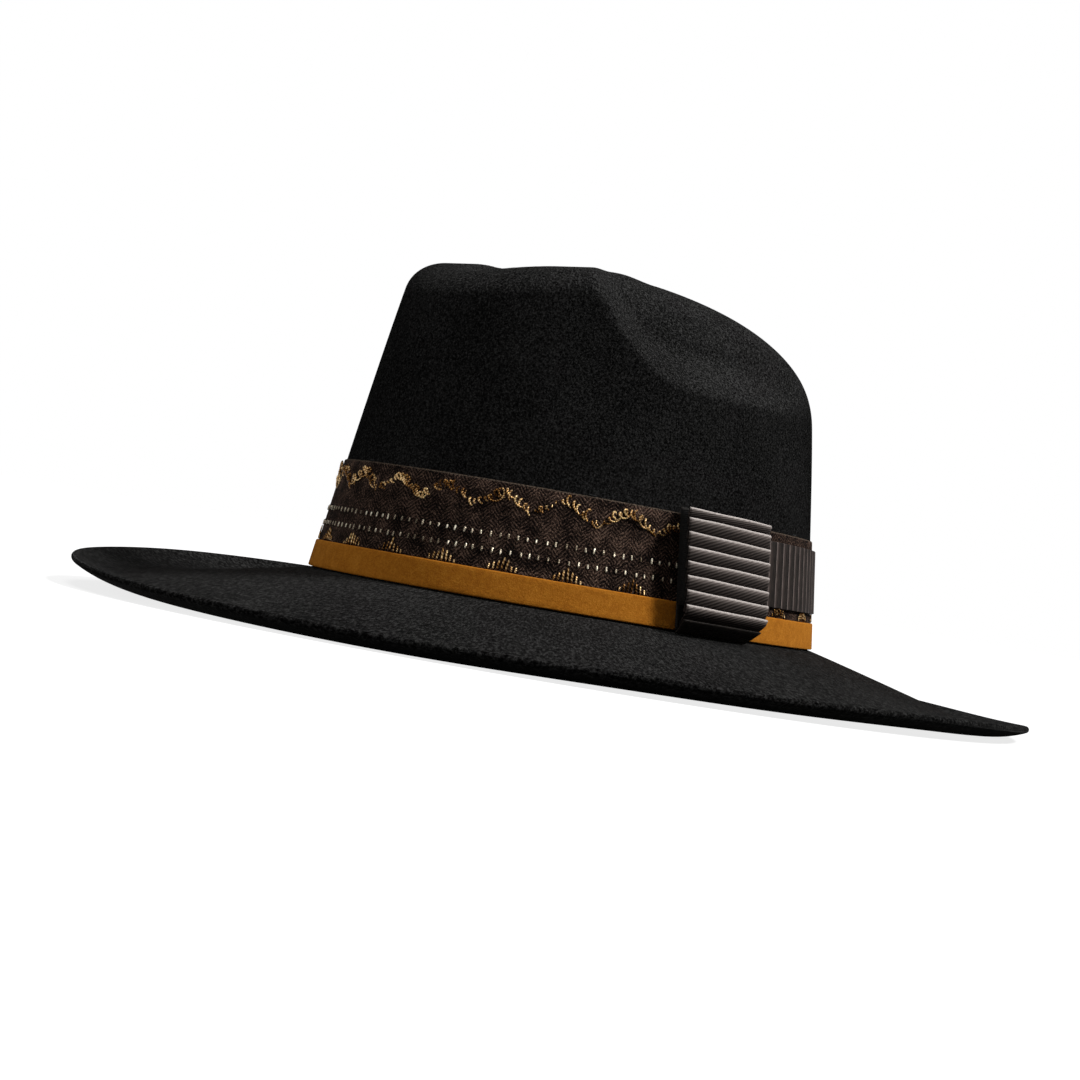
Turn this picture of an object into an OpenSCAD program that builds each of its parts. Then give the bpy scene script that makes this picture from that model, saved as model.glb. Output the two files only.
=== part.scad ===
// Wide-brimmed felt hat with a creased crown, a three-part hatband and a pleated side bow.
// The front faces -Y, the wearer's left is +X, and the brim rests on z = 0.
// Angles run round the crown from the front (0) over the wearer's left (90) to the back (180).

/* [Head opening] */
// Length of the opening inside the sweatband, front to back
head_length = 198; // [180:1:215]
// Width of the opening inside the sweatband, side to side
head_width = 164; // [150:1:185]

/* [Felt] */
// Thickness of the felt
felt = 2.6; // [1.8:0.1:4]

/* [Crown] */
// Height of the crown above the brim before it is creased
crown_height = 125; // [110:0.5:145]
// Lean of the crown wall from upright, in degrees
crown_taper = 8.1; // [3:0.1:11]
// Length of wall and top that the shoulder bend takes at the front
shoulder_front = 11; // [10:1:40]
// Length of wall and top that the shoulder bend takes at the sides and back
shoulder_back = 37; // [20:1:44]
// Angle from the front at which the shoulder bend starts to widen, in degrees
shoulder_start = 43; // [30:1:70]
// Angle over which the shoulder bend widens, in degrees
shoulder_span = 28; // [18:1:60]
// Distance of the ridge's highest point ahead of the middle
ridge_ahead = 33; // [10:1:60]
// Fall of the ridge 100 mm behind its highest point
ridge_fall_back = 18; // [6:0.5:26]
// Fall of the ridge 100 mm ahead of its highest point
ridge_fall_front = 48; // [0:1:50]

/* [Crease] */
// Depth of the teardrop crease in the top
crease_depth = 30; // [8:1:34]
// Length of the crease, front to back
crease_length = 154; // [110:2:156]
// Width of the crease at its middle
crease_width = 76; // [64:2:100]
// Share by which the crease widens toward the back
crease_flare = 0.22; // [0:0.02:0.4]

/* [Side pinches] */
// Depth of the dent pressed into each side
pinch_depth = 10.5; // [0:0.5:12]
// Height of the dent's lower edge above the brim, where it runs level
pinch_low = 84; // [70:1:100]
// Height over which the dent's lip slopes in to its depth
pinch_lip = 16; // [12:0.5:30]
// Angle from the front behind which the lower edge runs level, in degrees
pinch_turn = 76; // [50:1:80]
// Climb of the lower edge 30 degrees ahead of that angle
pinch_climb = 33; // [20:1:60]
// Angle over which the dent fades toward the back, in degrees
pinch_back = 57; // [30:1:80]
// Share of the dent's depth that is lost toward the ridge
pinch_fade = 0.28; // [0:0.02:0.8]

/* [Brim] */
// Width of the brim from the crown to its edge
brim_width = 87; // [60:1:110]
// Fall of the brim from the crown to its edge, before the edge turns up
brim_drop = 19; // [10:0.5:30]
// Extra fall of the brim at the back, and lack of it at the front
brim_rear_drop = 0.4; // [-4:0.2:5]
// Power of the brim's curve, where 1 is a straight slope
brim_curve = 1.05; // [1:0.05:2.6]
// Rise of the brim's sides over its front and back
brim_saddle = 3; // [0:0.5:10]
// Fall of the brim's left edge, and rise of its right edge
brim_side = 5; // [-8:0.5:8]
// Rise of the turned-up edge
rim_curl = 9; // [0:0.2:14]
// Width of the part of the brim that turns up
rim_curl_width = 24; // [16:0.5:50]

/* [Hatband] */
// Clearance between two plies of cloth, leather or felt
ply_gap = 0.15; // [0.1:0.05:0.3]
// Height of the suede strip's lower edge above the brim
band_lift = 0.4; // [0.2:0.1:3]
// Width of the suede strip
suede_width = 10; // [6:0.5:16]
// Thickness of the suede strip
suede_thick = 0.8; // [0.6:0.1:2]
// Width of the brocade ribbon
brocade_width = 41; // [34:0.5:50]
// Thickness of the brocade ribbon
brocade_thick = 0.6; // [0.5:0.1:1.6]
// Width of the ribbed ribbon round the back
back_ribbon_width = 24; // [18:0.5:27]
// Distance of the back ribbon's lower edge above the suede strip
back_ribbon_lift = 3.6; // [0.2:0.2:4]
// Thickness of the ribbed ribbon round the back
back_ribbon_thick = 0.7; // [0.4:0.1:1]
// Angle at which the back ribbon ends on the wearer's right, in degrees
back_ribbon_end = 268; // [200:1:300]

/* [Metal threads] */
// Number of zigzag repeats round the brocade
zigzag_count = 26; // [16:1:32]
// Height of the upper zigzag from point to point
zigzag_rise = 8.5; // [4:0.5:10]
// Distance of the upper zigzag's points below the brocade's top edge
zigzag_margin = 2; // [1.5:0.5:4]
// Width of a zigzag line
zigzag_width = 1.8; // [1:0.2:2.4]
// Height of the lower zigzag's points above the suede strip
fringe_rise = 5; // [3:0.5:6]
// Height of the lower row of bright stitches above the suede strip
stitch_row_height = 6.8; // [6.8:0.1:8]
// Distance between the two rows of bright stitches
stitch_row_pitch = 5.6; // [3:0.1:7]
// Height of one bright stitch
stitch_tall = 2; // [1:0.1:2.4]
// Thickness of the metal thread
thread_thick = 0.35; // [0.2:0.05:0.6]

/* [Bow] */
// Angle of the bow's middle from the front, in degrees
bow_angle = 84.4; // [70:0.2:110]
// Width of the bow
bow_width = 36; // [28:1:50]
// Height by which the bow stands above the brocade's top edge
bow_over = 1.7; // [1.6:0.1:8]
// Stand-off of the pleated ribbon at the bow's top
bow_depth_top = 5.7; // [1:0.1:8]
// Stand-off of the pleated ribbon at the bow's foot
bow_depth_low = 6.5; // [2:0.1:8]
// Height over which the bow's foot rolls under
bow_roll = 9; // [6:0.5:16]
// Shift of the bow's foot toward the back
bow_lean = 2; // [0:0.1:6]
// Number of pleats below the top fold
pleat_count = 7; // [5:1:10]
// Width of the bow that shows above the first pleat
top_fold = 3.5; // [2:0.5:6]
// Width of the rolled foot below the last pleat
foot_fold = 4.5; // [4:0.5:9]
// Height of a pleat's folded edge over the pleat above it
pleat_proud = 1.5; // [0.6:0.1:2.4]
// Slope of the pleats down toward the back, in degrees
bow_tilt = 1.7; // [0:0.1:3]
// Inward sweep of the bow's lower corner toward the back
bow_corner = 3.5; // [0:0.5:9]
// Thickness of the stiff backing behind the pleats
backing_thick = 0.8; // [0.5:0.1:1.4]

/* [Inside] */
// Height of the leather sweatband
sweat_height = 52; // [40:1:60]
// Thickness of the leather sweatband
sweat_thick = 1.2; // [0.8:0.1:2]
// Width of the butt joint between the sweatband's ends
sweat_joint = 0.8; // [0.4:0.1:2]
// Diameter of the reed in the sweatband's lower edge
reed_d = 1.8; // [1.2:0.1:2.4]
// Thickness of the tape folded round the reed
tape_thick = 0.4; // [0.3:0.1:0.6]
// Thickness of the lining
lining_thick = 0.5; // [0.3:0.1:0.8]
// Diameter of the corded piping between the lining's side and tip
piping_d = 1.8; // [1.2:0.2:2.4]
// Length of each loop of the small bow on the sweatband's joint
small_loop = 14; // [9:1:18]
// Width of the small bow's ribbon
small_ribbon = 5; // [3:0.5:7]

/* [Hidden] */

// Facets round the hat and along the brim and the crown
around = 60;
brim_rows = 9;
wall_rows = 10;
bend_rows = 8;
top_rows = 8;
felt_rows = brim_rows + wall_rows + bend_rows + top_rows - 1;
tube_sides = 6;

// Shape of the bends that have no size of their own
ridge_span = 100;
ridge_power = 4.5;
crease_power = 1.5;
crease_start = 0.6;
pinch_hub = 0.6;
pinch_span = 30;
saddle_power = 1.5;

// Layers of the crown wall, measured level across its lean
wall_slack = 3;
felt_level = felt / cos(crown_taper + wall_slack);
sweat_out = felt_level + 2 * ply_gap + lining_thick;
base_a = head_length / 2 + sweat_thick + sweat_out;
base_b = head_width / 2 + sweat_thick + sweat_out;
mean_r = (base_a + base_b) / 2;
top_r = mean_r - crown_height * tan(crown_taper);

// Faces of the hatband's layers, counted outward from the felt
brocade_face = ply_gap + brocade_thick;
over_brocade = brocade_face + ply_gap;
suede_face = over_brocade + suede_thick;
over_threads = over_brocade + thread_thick + ply_gap;
bow_seat = max(suede_face, over_threads + back_ribbon_thick) + ply_gap;
backing_face = bow_seat + backing_thick;
bow_back = backing_face + ply_gap;

// Heights of the hatband's edges above the brim
suede_top = band_lift + suede_width;
brocade_low = band_lift + ply_gap;
brocade_top = brocade_low + brocade_width;
back_ribbon_low = suede_top + back_ribbon_lift;
backing_top = brocade_top + bow_over - ply_gap;
bow_top = brocade_top + bow_over;
pleat_pitch = (bow_top - top_fold - foot_fold) / pleat_count;

// Small bar stitches: length, and height and depth of the thread
bar_long = 3;
bar_thread = 0.5;

// Row of the crown wall at which the lining's side starts
lining_hem = 3;
// Share of the first row over the seam at which the lining's tip starts, under the piping
lining_join = 0.1;

function clamp(x, low, high) = min(high, max(low, x));
function smooth(x) = let (c = clamp(x, 0, 1)) c * c * (3 - 2 * c);
function unit(v) = v / norm(v);
function mix(a, b, share) = a + (b - a) * share;
function half_turn(t) = abs(t - 360 * round(t / 360));

function oval(t) = [base_b * sin(t), -base_a * cos(t)];
function oval_normal(t) = unit([base_a * sin(t), -base_b * cos(t)]);
function turn(t) = let (n = oval_normal(t)) atan2(n[0], -n[1]);

// Point at height h over the brim, a distance out from the crown's straight wall
function wall_point(t, h, out) =
    let (xy = oval(t) * (1 - h * tan(crown_taper) / mean_r) + out * oval_normal(t))
    [xy[0], xy[1], h];

// Height of the brim's upper face at a distance d from the crown
function brim_height(t, d) =
    let (
        share = d / brim_width,
        fall = (brim_drop - brim_rear_drop * cos(t)) * (1 - pow(1 - share, brim_curve)),
        sway = (brim_saddle * cos(2 * t) + brim_side * sin(t)) * pow(share, saddle_power),
        curl = clamp((d - brim_width + rim_curl_width) / rim_curl_width, 0, 1)
    )
    rim_curl * curl * curl - fall - sway;

function brim_point(t, d) =
    let (xy = oval(t) + d * oval_normal(t))
    [xy[0], xy[1], brim_height(t, d)];

// Open crown as [share of the base oval, height], by rows up the wall, over the bend and in to the middle
function crown_profile(t, row) =
    let (
        reach = mix(shoulder_front, shoulder_back, smooth((half_turn(t) - shoulder_start) / shoulder_span)),
        corner = [top_r, crown_height],
        bend_in = corner + reach * [sin(crown_taper), -cos(crown_taper)],
        bend_out = corner - [reach, 0],
        q = (row - wall_rows) / bend_rows,
        p = q < 0 ? mix([mean_r, 0], bend_in, row / wall_rows)
            : q < 1 ? mix(mix(bend_in, corner, q), mix(corner, bend_out, q), q)
            : mix(bend_out, [0, crown_height], (row - wall_rows - bend_rows) / top_rows)
    )
    [p[0] / mean_r, p[1]];

// Inward push of the side pinch at height z: its lower edge climbs toward the front
function pinch(t, share, z) =
    let (
        past = half_turn(t) - pinch_turn,
        ahead = max(0, -past) / pinch_span,
        up = (z - pinch_low - pinch_climb * ahead * ahead) / pinch_lip
    )
    pinch_depth * smooth(up) * (1 - pinch_fade * smooth((up - 1) / 2))
        * (1 - smooth(past / pinch_back)) * smooth(share / pinch_hub);

// Share of the crease's depth at a place on the top
function crease(xy) =
    let (
        along = 2 * xy[1] / crease_length,
        across = 2 * xy[0] / (crease_width * (1 + crease_flare * clamp(along, -1, 1)))
    )
    pow(clamp(1 - along * along - across * across, 0, 1), crease_power);

function crown_point(t, row) =
    let (
        p = crown_profile(t, row),
        flat = oval(t) * p[0],
        rise = clamp(p[1] / crown_height, 0, 1),
        back = (flat[1] + ridge_ahead) / ridge_span,
        ridge = (back > 0 ? ridge_fall_back : ridge_fall_front) * back * back * pow(rise, ridge_power),
        z = p[1] - ridge,
        xy = flat - pinch(t, p[0], z) * oval_normal(t),
        dip = crease_depth * crease(flat) * smooth((rise - crease_start) / (1 - crease_start))
    )
    [xy[0], xy[1], z - dip];

// Felt surface on a grid: columns run round the hat, rows from the rim up to the top
function column_angle(i) = 360 * i / around;
function felt_point(t, row) =
    row <= brim_rows ? brim_point(t, brim_width * (1 - row / brim_rows))
    : crown_point(t, row - brim_rows);
felt_grid = [for (i = [0:around - 1]) [for (row = [0:felt_rows]) felt_point(column_angle(i), row)]];
crown_middle = crown_point(0, wall_rows + bend_rows + top_rows);

function grid_at(grid, i, k) = grid[(i + len(grid)) % len(grid)][clamp(k, 0, len(grid[0]) - 1)];
function grid_normal(grid, i, k) =
    unit(cross(
        grid_at(grid, i + 1, k) - grid_at(grid, i - 1, k),
        grid_at(grid, i, k + 1) - grid_at(grid, i, k - 1)));
function sunk(grid, depth) =
    [for (i = [0:len(grid) - 1]) [for (k = [0:len(grid[0]) - 1])
        grid[i][k] - depth * grid_normal(grid, i, k)]];
function rows(grid, first, last) = [for (column = grid) [for (k = [first:last]) column[k]]];

// The brim's lowest point sets how far the hat stands over z = 0
underside = sunk(felt_grid, felt);
brim_over_floor = -min([for (column = underside) for (p = column) p[2]]);
lining_out = sunk(felt_grid, felt + ply_gap);
lining_in = sunk(felt_grid, felt + ply_gap + lining_thick);
below_middle = [0, 0, -1];

function quad(a, b, c, d) = [[a, b, c], [a, c, d]];

// Solid between two grids of the same size. It closes round the hat if closed is true,
// and two poles, outer and inner, close its upper rows.
module slab(outer, inner, closed = true, poles = []) {
    n = len(outer);
    m = len(outer[0]);
    spans = closed ? n : n - 1;
    pole = 2 * n * m;
    function out(i, k) = (i % n) * m + k;
    function in(i, k) = n * m + (i % n) * m + k;
    polyhedron(
        concat([for (column = outer) each column], [for (column = inner) each column], poles),
        concat(
            [for (i = [0:spans - 1], k = [0:m - 2])
                each quad(out(i, k), out(i, k + 1), out(i + 1, k + 1), out(i + 1, k))],
            [for (i = [0:spans - 1], k = [0:m - 2])
                each quad(in(i, k), in(i + 1, k), in(i + 1, k + 1), in(i, k + 1))],
            [for (i = [0:spans - 1])
                each quad(out(i, 0), out(i + 1, 0), in(i + 1, 0), in(i, 0))],
            len(poles) == 2
            ? [for (i = [0:spans - 1])
                each [[out(i, m - 1), pole, out(i + 1, m - 1)], [in(i, m - 1), in(i + 1, m - 1), pole + 1]]]
            : [for (i = [0:spans - 1])
                each quad(out(i, m - 1), in(i, m - 1), in(i + 1, m - 1), out(i + 1, m - 1))],
            closed ? [] : [for (k = [0:m - 2])
                each concat(
                    quad(in(0, k), in(0, k + 1), out(0, k + 1), out(0, k)),
                    quad(in(n - 1, k), out(n - 1, k), out(n - 1, k + 1), in(n - 1, k + 1)))]));
}

// Closed round tube along a ring of points, with the direction that points out of the ring at each
module ring_tube(path, outward, d) {
    n = len(path);
    function tangent(i) = unit(path[(i + 1) % n] - path[(i + n - 1) % n]);
    points = [for (i = [0:n - 1]) for (k = [0:tube_sides - 1])
        let (side = unit(cross(outward[i], tangent(i))), a = 360 * k / tube_sides)
        path[i] + d / 2 * (cos(a) * outward[i] - sin(a) * side)];
    function at(i, k) = (i % n) * tube_sides + k % tube_sides;
    polyhedron(points, [for (i = [0:n - 1], k = [0:tube_sides - 1])
        each quad(at(i, k), at(i, k + 1), at(i + 1, k + 1), at(i + 1, k))]);
}

// Strip of ribbon on the crown wall, from angle list ts and between two heights
module wall_strip(ts, low, high, back, face, closed = true) {
    slab(
        [for (t = ts) [wall_point(t, low, face), wall_point(t, high, face)]],
        [for (t = ts) [wall_point(t, low, back), wall_point(t, high, back)]],
        closed);
}

all_round = [for (i = [0:around - 1]) column_angle(i)];

// Stitch lying level on the wall, its middle at the given angle, height and distance out
module bar_stitch(t, h, out, long = bar_long) {
    translate(wall_point(t, h, out))
        rotate([0, 0, turn(t)])
            cube([long, bar_thread, bar_thread], center = true);
}

module stand() {
    translate([0, 0, brim_over_floor])
        children();
}

// Crown and brim, blocked from one piece of felt
module felt_body() {
    color([0.07, 0.07, 0.07])
        stand()
            slab(felt_grid, underside, poles = [crown_middle, crown_middle + felt * below_middle]);
}

module brocade_ribbon() {
    color([0.17, 0.14, 0.11])
        stand()
            wall_strip(all_round, brocade_low, brocade_top, ply_gap, brocade_face);
}

// Height of a zigzag with its points at high and its valleys at low
zigzag_phase = 8;
function zigzag(t, low, high) =
    let (repeat = (t - zigzag_phase) * zigzag_count / 360, part = repeat - floor(repeat))
    mix(high, low, 1 - abs(2 * part - 1));

module zigzag_strip(low, high) {
    ts = [for (i = [0:4 * zigzag_count - 1]) zigzag_phase + 90 * i / zigzag_count];
    half = zigzag_width / 2;
    out = over_brocade + thread_thick;
    slab(
        [for (t = ts) let (h = zigzag(t, low, high))
            [wall_point(t, h - half, out), wall_point(t, h + half, out)]],
        [for (t = ts) let (h = zigzag(t, low, high))
            [wall_point(t, h - half, over_brocade), wall_point(t, h + half, over_brocade)]]);
}

module zigzag_upper() {
    high = brocade_top - zigzag_margin;
    color([0.75, 0.57, 0.24])
        stand()
            zigzag_strip(high - zigzag_rise, high);
}

module zigzag_lower() {
    low = suede_top + ply_gap + zigzag_width / 2;
    color([0.75, 0.57, 0.24])
        stand()
            zigzag_strip(low, suede_top + fringe_rise - zigzag_width / 2);
}

module stitch_row(h) {
    color([0.72, 0.68, 0.58])
        stand()
            wall_strip(all_round, h - stitch_tall / 2, h + stitch_tall / 2,
                over_brocade, over_brocade + thread_thick);
}

module stitch_row_upper() {
    stitch_row(suede_top + stitch_row_height + stitch_row_pitch);
}

module stitch_row_lower() {
    stitch_row(suede_top + stitch_row_height);
}

module suede_band() {
    color([0.55, 0.34, 0.1])
        stand()
            wall_strip(all_round, band_lift, suede_top, over_brocade, suede_face);
}

// Ribbed ribbon from under the bow round the back to the wearer's right
module back_ribbon() {
    between = [for (t = all_round) if (t > bow_angle && t < back_ribbon_end) t];
    color([0.24, 0.21, 0.2])
        stand()
            wall_strip(concat([bow_angle], between, [back_ribbon_end]),
                back_ribbon_low, back_ribbon_low + back_ribbon_width,
                over_threads, over_threads + back_ribbon_thick, closed = false);
}

// Bow: columns run across it, and each keeps clear of the brim below
bow_columns = 8;
bow_radius = norm([base_b * cos(bow_angle), base_a * sin(bow_angle)]);
corner_height = 12;
function bow_column(i, h, inset) =
    let (
        across = 2 * i / bow_columns - 1,
        low = clamp((corner_height - h) / corner_height, 0, 1),
        half = bow_width / 2 - inset - (across > 0 ? bow_corner * low * low : 0),
        radius = bow_radius * (1 - h * tan(crown_taper) / mean_r)
    )
    bow_angle + (across * half + bow_lean * (1 - h / bow_top)) * 180 / (PI * radius);
function bow_point(i, h, out, inset = 0) =
    let (
        t = bow_column(i, h, inset),
        lift = (0.5 - i / bow_columns) * bow_width * tan(bow_tilt) * smooth(h / corner_height)
    )
    wall_point(t, max(h + lift, brim_height(t, out) + 2 * ply_gap), out);
rolled_share = 0.45;
function bow_depth(h) =
    mix(bow_depth_low, bow_depth_top, clamp(h / bow_top, 0, 1)) * mix(rolled_share, 1, smooth(h / bow_roll));

// One pleat as [share of its height, share of its fold's height]: it leans out to a rounded edge at its top
pleat_outline = [[0.02, 0], [0.5, 0.5], [0.84, 1], [0.97, 0.85]];
foot_outline = [[0, -0.55], [0.25, -0.15], [0.6, 0.6], [0.88, 1], [0.98, 0.85]];
bow_profile = concat(
    [for (p = foot_outline) [p[0] * foot_fold, p[1]]],
    [for (j = [0:pleat_count - 1]) for (p = pleat_outline) [foot_fold + (j + p[0]) * pleat_pitch, p[1]]],
    [for (p = pleat_outline) [bow_top + (p[0] - 1) * top_fold, p[1]]]);

module bow_pleats() {
    color([0.3, 0.27, 0.26])
        stand()
            slab(
                [for (i = [0:bow_columns]) [for (p = bow_profile) let (d = bow_depth(p[0]))
                    bow_point(i, p[0], bow_back + d + (p[1] < 0 ? d : pleat_proud) * p[1])]],
                [for (i = [0:bow_columns]) [for (p = bow_profile) bow_point(i, p[0], bow_back)]],
                closed = false);
}

module bow_backing() {
    heights = [band_lift, corner_height / 2, corner_height, backing_top];
    inset = 1;
    color([0.12, 0.11, 0.1])
        stand()
            slab(
                [for (i = [0:bow_columns]) [for (h = heights) bow_point(i, h, backing_face, inset)]],
                [for (i = [0:bow_columns]) [for (h = heights) bow_point(i, h, bow_seat, inset)]],
                closed = false);
}

// Threads that hold the bow's backing to the felt, hidden over the brocade's top edge
module bow_tacks() {
    reach = bow_seat - 2 * ply_gap;
    h = (brocade_top + backing_top) / 2;
    color([0.05, 0.05, 0.05])
        stand()
            for (side = [-1, 0, 1])
                translate(wall_point(bow_angle + side * bow_width / 6, h, ply_gap + reach / 2))
                    rotate([0, 0, turn(bow_angle)])
                        cube([bar_long, reach, bar_thread], center = true);
}

// Short stitches that hold the brocade's top edge to the felt
module band_tacks() {
    count = 6;
    color([0.05, 0.05, 0.05])
        stand()
            for (k = [0:count - 1])
                bar_stitch(bow_angle + (k + 0.5) * 360 / count,
                    brocade_top + ply_gap + bar_thread / 2, ply_gap + bar_thread);
}

// Sweatband: its ends meet at the back
sweat_face = -sweat_out - sweat_thick;
sweat_low = -1;
module sweatband() {
    half = sweat_joint / 2 * 180 / (PI * base_b);
    ts = concat([180 + half], [for (i = [1:around - 1]) 180 + column_angle(i)], [540 - half]);
    color([0.22, 0.12, 0.07])
        stand()
            wall_strip(ts, sweat_low, sweat_height, sweat_face, -sweat_out, closed = false);
}

// Reed inside a folded tape, under the sweatband's lower edge
reed_out = -sweat_out - sweat_thick / 2;
sleeve_in = reed_d / 2 + ply_gap;
sleeve_out = sleeve_in + tape_thick;
reed_height = sweat_low - ply_gap - sleeve_out;
module sweatband_reed() {
    color([0.85, 0.84, 0.8])
        stand()
            ring_tube([for (t = all_round) wall_point(t, reed_height, reed_out)],
                [for (t = all_round) let (n = oval_normal(t)) [n[0], n[1], 0]], reed_d);
}

module reed_tape() {
    open_angle = 35;
    folds = [for (k = [0:5]) 90 + open_angle + k * (360 - 2 * open_angle) / 5];
    color([0.1, 0.1, 0.1])
        stand()
            slab(
                [for (t = all_round) [for (a = folds)
                    wall_point(t, reed_height + sleeve_out * sin(a), reed_out + sleeve_out * cos(a))]],
                [for (t = all_round) [for (a = folds)
                    wall_point(t, reed_height + sleeve_in * sin(a), reed_out + sleeve_in * cos(a))]]);
}

// Stitches along the sweatband's lower edge
stitch_out = sweat_face - ply_gap - bar_thread / 2;
module sweatband_stitches() {
    count = 90;
    height = 2.5;
    color([0.6, 0.5, 0.35])
        stand()
            for (k = [0:count - 1])
                bar_stitch(180 + (k + 0.5) * 360 / count, height, stitch_out);
}

// Bar stitches across the sweatband's joint at the back
module joint_stitches() {
    count = 7;
    low = small_low + small_ribbon + 2;
    color([0.6, 0.5, 0.35])
        stand()
            for (k = [0:count - 1])
                bar_stitch(180, mix(low, sweat_height - 2, k / (count - 1)), stitch_out);
}

// Small bow on the joint: two flat loops of ribbon and a knot
small_low = 6;
small_depth = 4;
small_cloth = 0.5;
knot_width = 4;
small_gap = 3 * ply_gap;

// Point on the sweatband's face beside the joint, level with the small bow's top edge
function small_seat(beside) =
    wall_point(180 - beside * 180 / (PI * base_b), small_low + small_ribbon, sweat_face - 2 * ply_gap);
knot_face = small_seat(knot_width / 2)[1];
loop_near = small_seat(knot_width / 2 + small_gap);
loop_lie = small_seat(knot_width / 2 + small_gap + small_loop) - loop_near;

module loop_outline(d, long) {
    translate([d / 2, 0])
        circle(d = d, $fn = 48);
    translate([long - d / 2, 0])
        circle(d = d, $fn = 48);
    translate([d / 2, -d / 2])
        square([long - d, d]);
}

module small_loop_ring() {
    linear_extrude(small_ribbon)
        difference() {
            loop_outline(small_depth, small_loop);
            translate([small_cloth, 0])
                loop_outline(small_depth - 2 * small_cloth, small_loop - 2 * small_cloth);
        }
}

module small_bow_loops() {
    color([0.1, 0.1, 0.1])
        stand()
            for (side = [0, 1])
                mirror([side, 0, 0])
                    translate([loop_near[0], loop_near[1], small_low])
                        rotate([0, 0, atan2(loop_lie[1], loop_lie[0])])
                            translate([0, -small_depth / 2, 0])
                                small_loop_ring();
}

module small_bow_knot() {
    color([0.1, 0.1, 0.1])
        stand()
            translate([-knot_width / 2, knot_face - small_depth, small_low - small_cloth])
                cube([knot_width, small_depth, small_ribbon + 2 * small_cloth]);
}

// Lining: a side strip, an oval tip and a corded seam between them
seam_row = brim_rows + wall_rows;
module lining_side() {
    first = brim_rows + lining_hem;
    color([0.16, 0.13, 0.1])
        stand()
            slab(rows(lining_out, first, seam_row), rows(lining_in, first, seam_row));
}

function from_seam(grid) = [for (column = grid)
    [mix(column[seam_row], column[seam_row + 1], lining_join),
        for (k = [seam_row + 1:felt_rows]) column[k]]];

module lining_tip() {
    deep = felt + ply_gap;
    color([0.2, 0.16, 0.12])
        stand()
            slab(from_seam(lining_out), from_seam(lining_in),
                poles = [crown_middle + deep * below_middle,
                    crown_middle + (deep + lining_thick) * below_middle]);
}

module lining_piping() {
    deep = felt + 2 * ply_gap + lining_thick + piping_d / 2;
    normals = [for (i = [0:around - 1]) grid_normal(felt_grid, i, seam_row)];
    color([0.45, 0.3, 0.12])
        stand()
            ring_tube(
                [for (i = [0:around - 1]) felt_grid[i][seam_row] - deep * normals[i]],
                normals, piping_d);
}

felt_body();
brocade_ribbon();
zigzag_upper();
zigzag_lower();
stitch_row_upper();
stitch_row_lower();
suede_band();
back_ribbon();
bow_pleats();
bow_backing();
bow_tacks();
band_tacks();
sweatband();
sweatband_reed();
reed_tape();
sweatband_stitches();
joint_stitches();
small_bow_loops();
small_bow_knot();
lining_side();
lining_tip();
lining_piping();
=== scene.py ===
"""Looks of the wide-brimmed felt hat: fine meshes on the CAD model's sizes, materials, light and camera."""

import math

import bpy
import numpy as np
from mathutils import Matrix, Vector


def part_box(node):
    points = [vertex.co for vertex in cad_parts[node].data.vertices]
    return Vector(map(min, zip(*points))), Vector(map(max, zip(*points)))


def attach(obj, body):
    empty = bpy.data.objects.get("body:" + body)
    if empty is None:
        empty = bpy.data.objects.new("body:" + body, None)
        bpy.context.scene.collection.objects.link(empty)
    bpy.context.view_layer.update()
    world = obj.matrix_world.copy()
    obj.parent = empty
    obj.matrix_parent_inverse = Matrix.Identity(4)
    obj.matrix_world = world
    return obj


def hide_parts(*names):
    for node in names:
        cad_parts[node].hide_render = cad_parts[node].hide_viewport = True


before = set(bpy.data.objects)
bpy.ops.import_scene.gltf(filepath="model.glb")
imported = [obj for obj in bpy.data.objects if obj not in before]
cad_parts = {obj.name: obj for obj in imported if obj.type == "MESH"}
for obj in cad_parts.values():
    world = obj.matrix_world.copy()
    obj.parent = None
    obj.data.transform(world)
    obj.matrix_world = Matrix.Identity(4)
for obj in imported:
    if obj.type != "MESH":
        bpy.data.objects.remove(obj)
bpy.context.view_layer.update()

MM = 0.001
DEG = math.pi / 180
TURN = 2 * math.pi

# Crown and brim sizes in millimetres, as in the CAD model
HEAD_LENGTH, HEAD_WIDTH = 198, 164
FELT = 2.6
CROWN_HEIGHT = 125
CROWN_TAPER = 8.1 * DEG
SHOULDER_FRONT, SHOULDER_BACK = 11, 37
SHOULDER_START, SHOULDER_SPAN = 43, 28
RIDGE_AHEAD, RIDGE_SPAN, RIDGE_POWER = 33, 100, 4.5
RIDGE_FALL_BACK, RIDGE_FALL_FRONT = 18, 48
CREASE_DEPTH, CREASE_LENGTH, CREASE_WIDTH = 30, 154, 76
CREASE_FLARE, CREASE_POWER, CREASE_START = 0.22, 1.5, 0.6
PINCH_DEPTH, PINCH_LOW, PINCH_LIP = 10.5, 84, 16
PINCH_TURN, PINCH_CLIMB, PINCH_SPAN, PINCH_BACK = 76, 33, 30, 57
PINCH_FADE, PINCH_HUB = 0.28, 0.6
BRIM_WIDTH, BRIM_DROP, BRIM_REAR_DROP = 87, 19, 0.4
BRIM_CURVE, BRIM_SADDLE, BRIM_SIDE, SADDLE_POWER = 1.05, 3, 5, 1.5
RIM_CURL, RIM_CURL_WIDTH = 9, 24

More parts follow.
